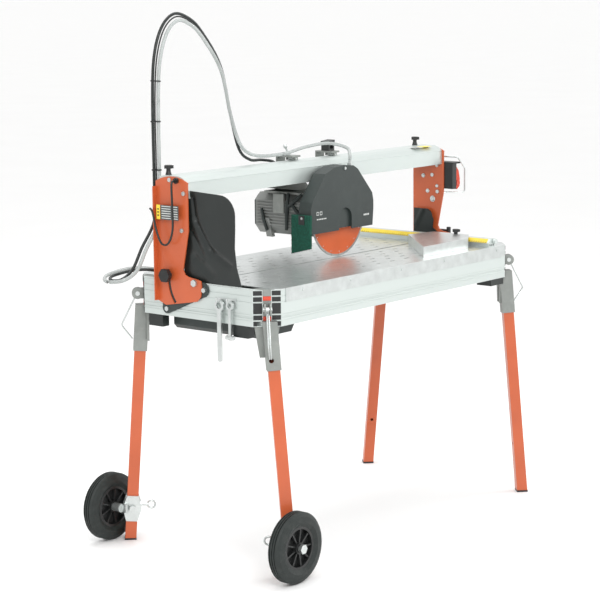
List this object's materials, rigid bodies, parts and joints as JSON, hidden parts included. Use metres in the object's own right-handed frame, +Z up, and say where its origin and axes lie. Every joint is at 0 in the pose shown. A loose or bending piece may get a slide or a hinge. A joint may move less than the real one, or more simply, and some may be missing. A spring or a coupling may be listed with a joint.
{
  "type": "masonry saw",
  "caption": "Bridge-type wet masonry saw: tilting beam with a sliding blade head over a slotted table, water tank, wheeled stand.",
  "frame": {"origin": "middle of the overall box, on the floor", "axes": "+X along the bridge away from the wheels, -Y the operator's side, +Z up"},
  "size_m": [1.6616, 0.8888, 1.7783],
  "materials": {
    "aluminium_rail": "satin anodised extrusion",
    "orange_paint": "powder coat",
    "dark_paint": "satin dark grey powder coat",
    "dark_plastic": "moulded, fine grain",
    "casting": "die-cast, tumbled",
    "zinc": "zinc plated",
    "black_plastic": "moulded",
    "red_plastic": "moulded",
    "rubber": "moulded sheet",
    "tyre_rubber": "solid rubber",
    "motor_paint": "painted ribbed casting",
    "blade_paint": "painted steel core, bare sintered rim",
    "green_pad": "coarse non-woven fibre",
    "clear_hose": "clear flexible tube",
    "spring_steel": "black sleeved spring rod"
  },
  "bodies": {
    "frame": {"long_rails": "aluminium_rail", "end_rails": "aluminium_rail", "end_plugs": "black_plastic", "corner_blocks": "casting", "corner_spacers": "red_plastic", "leg_sockets": "casting", "legs": "orange_paint", "wheel_brackets": "zinc", "water_tank": "dark_plastic", "water_pump": "black_plastic", "panel_front": "zinc", "panel_rear": "zinc", "rubber_blocks": "rubber", "fence_bar": "aluminium_rail", "hanging_tools": "zinc", "pivot_plates": "dark_paint", "frame_fasteners": "zinc"},
    "bail_fl": {"bail_front_left": "zinc"},
    "bail_fr": {"bail_front_right": "zinc"},
    "bail_rl": {"bail_rear_left": "zinc"},
    "bail_rr": {"bail_rear_right": "zinc"},
    "wheel_front": {"front_tyre": "tyre_rubber", "front_hub": "black_plastic"},
    "wheel_rear": {"rear_tyre": "tyre_rubber", "rear_hub": "black_plastic"},
    "eye_front": {"front_eye_bolt": "zinc"},
    "eye_rear": {"rear_eye_bolt": "zinc"},
    "stop": {"mitre_stop": "zinc"},
    "stop_knob": {"mitre_knob": "black_plastic"},
    "bridge": {"upright_left": "orange_paint", "upright_right": "orange_paint", "bridge_beam": "aluminium_rail", "bridge_fasteners": "zinc", "splash_flap_left": "rubber", "splash_flap_right": "rubber", "laser_housing": "black_plastic", "laser_module": "red_plastic", "laser_guard": "zinc", "cable_gland": "black_plastic", "mast_rod": "spring_steel", "supply_cable": "rubber", "water_hose": "clear_hose", "jumper_cable": "rubber"},
    "knob_left": {"beam_knob_left": "black_plastic"},
    "knob_right": {"beam_knob_right": "black_plastic"},
    "lock_left": {"tilt_knob": "black_plastic"},
    "lock_right": {"tilt_lever": "black_plastic"},
    "carriage": {"carriage_frame": "casting", "carriage_handle": "black_plastic"},
    "roll_left": {"roller_left": "zinc"},
    "roll_right": {"roller_right": "zinc"},
    "head_lock": {"carriage_lever": "zinc"},
    "head": {"motor_body": "motor_paint", "fan_cover": "dark_plastic", "head_bracket": "casting", "blade_guard": "dark_plastic", "water_nozzle": "zinc", "scrub_pad": "green_pad"},
    "blade": {"diamond_blade": "blade_paint", "arbor": "zinc"}
  },
  "joints": [
    {"name": "bridge_tilt", "type": "hinge", "parent": "frame", "child": "bridge", "pos_m": [0.02335, 0, 0.92], "axis": [1, 0, 0], "range_deg": [0, 45], "deforming": ["supply_cable", "water_hose", "splash_flap_left", "splash_flap_right"]},
    {"name": "carriage_slide", "type": "slide", "parent": "bridge", "child": "carriage", "axis": [1, 0, 0], "range_m": [-0.5, 0.25], "deforming": ["supply_cable", "water_hose", "mast_rod"]},
    {"name": "head_plunge", "type": "hinge", "parent": "carriage", "child": "head", "pos_m": [-0.07665, 0.26, 1.18], "axis": [0, -1, 0], "range_deg": [0, 10], "deforming": ["water_hose"]},
    {"name": "blade_spin", "type": "hinge", "parent": "head", "child": "blade", "pos_m": [0.05635, 0, 1.073], "axis": [0, 1, 0], "continuous": true},
    {"name": "roller_left_turn", "type": "hinge", "parent": "carriage", "child": "roll_left", "pos_m": [-0.04665, 0.127, 1.2653], "axis": [0, 1, 0], "continuous": true},
    {"name": "roller_right_turn", "type": "hinge", "parent": "carriage", "child": "roll_right", "pos_m": [0.17135, 0.127, 1.2653], "axis": [0, 1, 0], "continuous": true},
    {"name": "head_lock_turn", "type": "hinge", "parent": "carriage", "child": "head_lock", "pos_m": [-0.04665, 0.135, 1.2773], "axis": [0, 0, 1], "range_deg": [-90, 90]},
    {"name": "wheel_front_spin", "type": "hinge", "parent": "frame", "child": "wheel_front", "pos_m": [-0.68665, -0.40744, 0.1165], "axis": [0, 1, 0], "continuous": true},
    {"name": "wheel_rear_spin", "type": "hinge", "parent": "frame", "child": "wheel_rear", "pos_m": [-0.68665, 0.40744, 0.1165], "axis": [0, 1, 0], "continuous": true},
    {"name": "bail_fl_swing", "type": "hinge", "parent": "frame", "child": "bail_fl", "pos_m": [-0.65921, -0.28256, 0.858], "axis": [-0.7071, 0.7071, 0], "range_deg": [0, 95]},
    {"name": "bail_fr_swing", "type": "hinge", "parent": "frame", "child": "bail_fr", "pos_m": [0.70591, -0.28256, 0.858], "axis": [-0.7071, -0.7071, 0], "range_deg": [0, 95]},
    {"name": "bail_rl_swing", "type": "hinge", "parent": "frame", "child": "bail_rl", "pos_m": [-0.65921, 0.28256, 0.858], "axis": [0.7071, 0.7071, 0], "range_deg": [0, 95]},
    {"name": "bail_rr_swing", "type": "hinge", "parent": "frame", "child": "bail_rr", "pos_m": [0.70591, 0.28256, 0.858], "axis": [0.7071, -0.7071, 0], "range_deg": [0, 95]},
    {"name": "eye_front_turn", "type": "hinge", "parent": "frame", "child": "eye_front", "pos_m": [-0.65709, -0.33228, 0.12313], "axis": [0.7071, -0.7037, 0.0698], "continuous": true},
    {"name": "eye_rear_turn", "type": "hinge", "parent": "frame", "child": "eye_rear", "pos_m": [-0.63021, 0.33228, 0.12313], "axis": [-0.7071, 0.7037, 0.0698], "continuous": true},
    {"name": "mitre_slide", "type": "slide", "parent": "frame", "child": "stop", "axis": [0, -1, 0], "range_m": [0, 0.045]},
    {"name": "mitre_knob_turn", "type": "hinge", "parent": "stop", "child": "stop_knob", "pos_m": [0.57135, -0.142, 0.956], "axis": [0, 0, 1], "continuous": true},
    {"name": "beam_knob_left_turn", "type": "hinge", "parent": "bridge", "child": "knob_left", "pos_m": [-0.66265, 0.127, 1.26], "axis": [0, 0, 1], "continuous": true},
    {"name": "beam_knob_right_turn", "type": "hinge", "parent": "bridge", "child": "knob_right", "pos_m": [0.68735, 0.127, 1.26], "axis": [0, 0, 1], "continuous": true},
    {"name": "tilt_knob_turn", "type": "hinge", "parent": "frame", "child": "lock_left", "pos_m": [-0.68595, 0.11062, 0.93752], "axis": [1, 0, 0], "continuous": true},
    {"name": "tilt_lever_turn", "type": "hinge", "parent": "frame", "child": "lock_right", "pos_m": [0.73265, 0.11062, 0.93752], "axis": [-1, 0, 0], "range_deg": [0, 60]}
  ],
  "couplings": [
    {"joint": "roller_left_turn", "follows": "carriage_slide", "rad_per_m": 200},
    {"joint": "roller_right_turn", "follows": "carriage_slide", "rad_per_m": 200}
  ]
}
